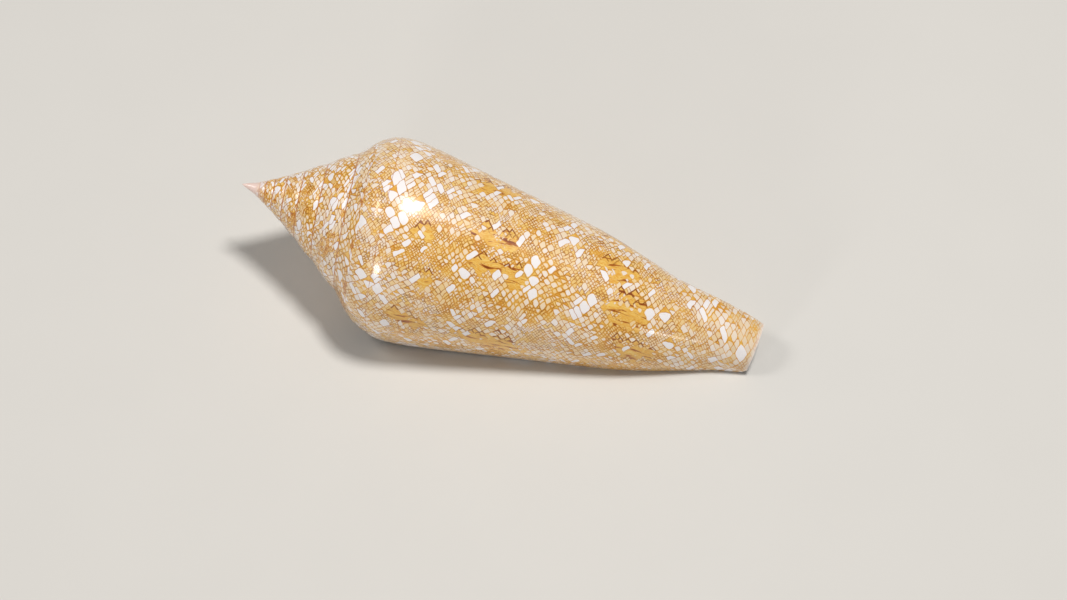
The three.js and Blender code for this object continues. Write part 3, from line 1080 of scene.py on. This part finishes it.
def makeShellMaterial():
    material = bpy.data.materials.new("tentedShell")
    material.use_nodes = True
    tree = material.node_tree
    tree.nodes.clear()
    growth = addNode(tree, "ShaderNodeAttribute", attribute_name="growth").outputs["Vector"]
    place = addNode(tree, "ShaderNodeAttribute", attribute_name="place").outputs["Vector"]
    s, t, onRamp = addNode(tree, "ShaderNodeSeparateXYZ", {0: growth}).outputs[0:3]
    depth, share, glaze = addNode(tree, "ShaderNodeSeparateXYZ", {0: place}).outputs[0:3]
    toFront = ease(tree, s, *fills["frontPlaces"])

    onSpire = blend(tree, onRamp, 1.0, fills["spireTents"])
    tents = plus(tree, onSpire, times(tree, toFront, fills["frontTents"]))
    bend = times(tree, minus(tree, cloud(tree, "bend", s, t), 0.5), onRamp, fills["spireBend"])
    cell = useGroup(tree, makeNetGroup(), {
        "s": plus(tree, s, bend),
        "t": plus(tree, t, times(tree, bend, fills["bendRound"])),
        "tents": tents,
    })
    chance, shade = randoms(tree, plus(tree, cell["seed"], seeds["fill"]))[0:2]
    at = {
        "s": s, "t": t, "depth": depth, "share": share, "toFront": toFront,
        "onRamp": onRamp, "onBody": minus(tree, 1.0, onRamp), "chance": chance, "shade": shade,
    }
    inFill = fillMask(tree, at, cell)
    ochre = ochreStreaks(tree, at)
    colour = netColour(tree, at, cell, inFill)
    colour = blotchColour(tree, at, cell, inFill, ochre, colour)
    colour = spireColour(tree, at, cell, ochre, colour)
    colour = growthColour(tree, at, colour)

    # bare tip, white inside
    atTip = ease(tree, depth, *finish["tipDepths"], finish["tipStrength"], 0.0)
    colour = mixColour(tree, atTip, colour, hues["tip"])
    colour = mixColour(tree, glaze, colour, hues["inside"])

    along, around = finish["rippleStretch"]
    ripples = cloud(tree, "ripples", times(tree, s, along), times(tree, t, around))
    bump = addNode(tree, "ShaderNodeBump", {
        "Strength": finish["bumpStrength"], "Distance": finish["bumpDistance"], "Height": ripples,
    }).outputs[0]
    dull = ease(tree, cloud(tree, "dull", s, t), *finish["dull"], *finish["roughness"])
    shader = addNode(tree, "ShaderNodeBsdfPrincipled", {
        "Base Color": colour, "Roughness": dull, "Normal": bump,
        "IOR": finish["ior"], "Coat Weight": finish["coatWeight"],
        "Coat Roughness": finish["coatRoughness"], "Coat IOR": finish["coatIor"],
    }).outputs[0]
    output = tree.nodes.new("ShaderNodeOutputMaterial")
    tree.links.new(shader, output.inputs[0])
    return material


mesh.materials.append(makeShellMaterial())
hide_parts("shell")
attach(shell, "root")
print("shell material made")


# Camera: the photograph is 1067 by 600 pixels, with the apex and the run of the axis read off it
view = {
    "frameSize": (1067, 600),    # pixels
    "apexPixel": (242, 184),
    "pixelsLong": 540,           # the axis, apex to front end
    "slope": 16.7,               # degrees, the axis runs down to the right
    "lipTurn": 95.0,             # degrees round the axis from the view to the lip
    "lens": 100.0,               # mm
    "sensor": 36.0,              # mm
    "clipEnd": 20.0,             # m
}
axisWay = Vector((math.cos(pitch), 0, -math.sin(pitch)))


def roundAxis(degrees):    # a direction square to the axis, tipped with the shell
    angle = math.radians(degrees)
    up = math.sin(angle)
    return Vector((up * math.sin(pitch), math.cos(angle), up * math.cos(pitch)))


toCamera = roundAxis(form["restRoll"] - view["lipTurn"])
towardsLip = roundAxis(form["restRoll"] - view["lipTurn"] + 90)
slope = math.radians(view["slope"])
right = axisWay * math.cos(slope) - towardsLip * math.sin(slope)
down = axisWay * math.sin(slope) + towardsLip * math.cos(slope)
apexSpot = Vector((-middle[0] * mm, -middle[1] * mm, -low * mm))
perPixel = form["length"] * mm / view["pixelsLong"]
offX = view["frameSize"][0] / 2 - view["apexPixel"][0]
offY = view["frameSize"][1] / 2 - view["apexPixel"][1]
target = apexSpot + (right * offX + down * offY) * perPixel
distance = view["frameSize"][0] * perPixel * view["lens"] / view["sensor"]

cameraData = bpy.data.cameras.new("camera")
cameraData.lens = view["lens"]
cameraData.sensor_width = view["sensor"]
cameraData.clip_end = view["clipEnd"]
camera = bpy.data.objects.new("camera", cameraData)
bpy.context.scene.collection.objects.link(camera)
turned = Matrix((right, -down, toCamera)).transposed().to_4x4()
camera.matrix_world = Matrix.Translation(target + toCamera * distance) @ turned
bpy.context.scene.camera = camera
print("camera set, elevation", round(math.degrees(math.asin(toCamera.z)), 1))


# Studio: pale floor, soft lights
studio = {
    "floorSize": 6.0,       # m
    "floorColour": paint(216, 214, 210),
    "floorDarker": 0.97,    # its grain runs down to this share of the colour
    "floorGrain": 40.0,     # per m
    "floorDetail": 4.0,
    "floorRoughness": 0.85,
    "skyStrength": 0.15,
    "distance": 0.9,        # m, from the lights to the spot they aim at
    "aimHeight": 0.02,      # m
    "lightColour": (1.0, 0.975, 0.94),
    # each light: its way (along the axis, to the camera, towards the lip), sizes in m, power in W
    "lights": {
        "key": ((0.045, 0.79, -0.609), (0.13, 0.2), 6.2),
        "low": ((-0.337, 0.656, 0.676), (0.13, 0.17), 1.4),
        "front": ((0.595, 0.642, 0.484), (0.08, 0.08), 0.12),
        "spire": ((-0.7, 0.62, -0.3), (0.3, 0.3), 1.7),
    },
}


def addSoftLight(name, way, size, power):
    data = bpy.data.lights.new(name, "AREA")
    data.shape = "ELLIPSE"
    data.size, data.size_y = size
    data.energy = power
    data.color = studio["lightColour"]
    lamp = bpy.data.objects.new(name, data)
    bpy.context.scene.collection.objects.link(lamp)
    out = (axisWay * way[0] + toCamera * way[1] + towardsLip * way[2]).normalized()
    side = (axisWay - out * axisWay.dot(out)).normalized()    # its first size lies along the shell
    turned = Matrix((side, out.cross(side), out)).transposed().to_4x4()
    spot = Vector((0, 0, studio["aimHeight"])) + out * studio["distance"]
    lamp.matrix_world = Matrix.Translation(spot) @ turned


def makeFloorMaterial():
    material = bpy.data.materials.new("paleFloor")
    material.use_nodes = True
    tree = material.node_tree
    shader = tree.nodes["Principled BSDF"]
    spot = addNode(tree, "ShaderNodeNewGeometry").outputs["Position"]
    settings = {"Vector": spot, "Scale": studio["floorGrain"], "Detail": studio["floorDetail"]}
    grain = addNode(tree, "ShaderNodeTexNoise", settings).outputs["Fac"]
    base = studio["floorColour"]
    darker = tuple(v * studio["floorDarker"] for v in base)
    tree.links.new(mixColour(tree, grain, darker, base), shader.inputs["Base Color"])
    shader.inputs["Roughness"].default_value = studio["floorRoughness"]
    return material


floorMesh = bpy.data.meshes.new("floor")
reach = studio["floorSize"] / 2
corners = [(-reach, -reach, 0), (reach, -reach, 0), (reach, reach, 0), (-reach, reach, 0)]
floorMesh.from_pydata(corners, [], [(0, 1, 2, 3)])
floorMesh.materials.append(makeFloorMaterial())
floor = bpy.data.objects.new("floor", floorMesh)
bpy.context.scene.collection.objects.link(floor)

for name, (way, size, power) in studio["lights"].items():
    addSoftLight(name, way, size, power)

world = bpy.data.worlds.new("studio")
world.use_nodes = True
world.node_tree.nodes["Background"].inputs["Color"].default_value = (1, 1, 1, 1)
world.node_tree.nodes["Background"].inputs["Strength"].default_value = studio["skyStrength"]
bpy.context.scene.world = world
bpy.context.scene.view_settings.view_transform = "Standard"
print("studio set")
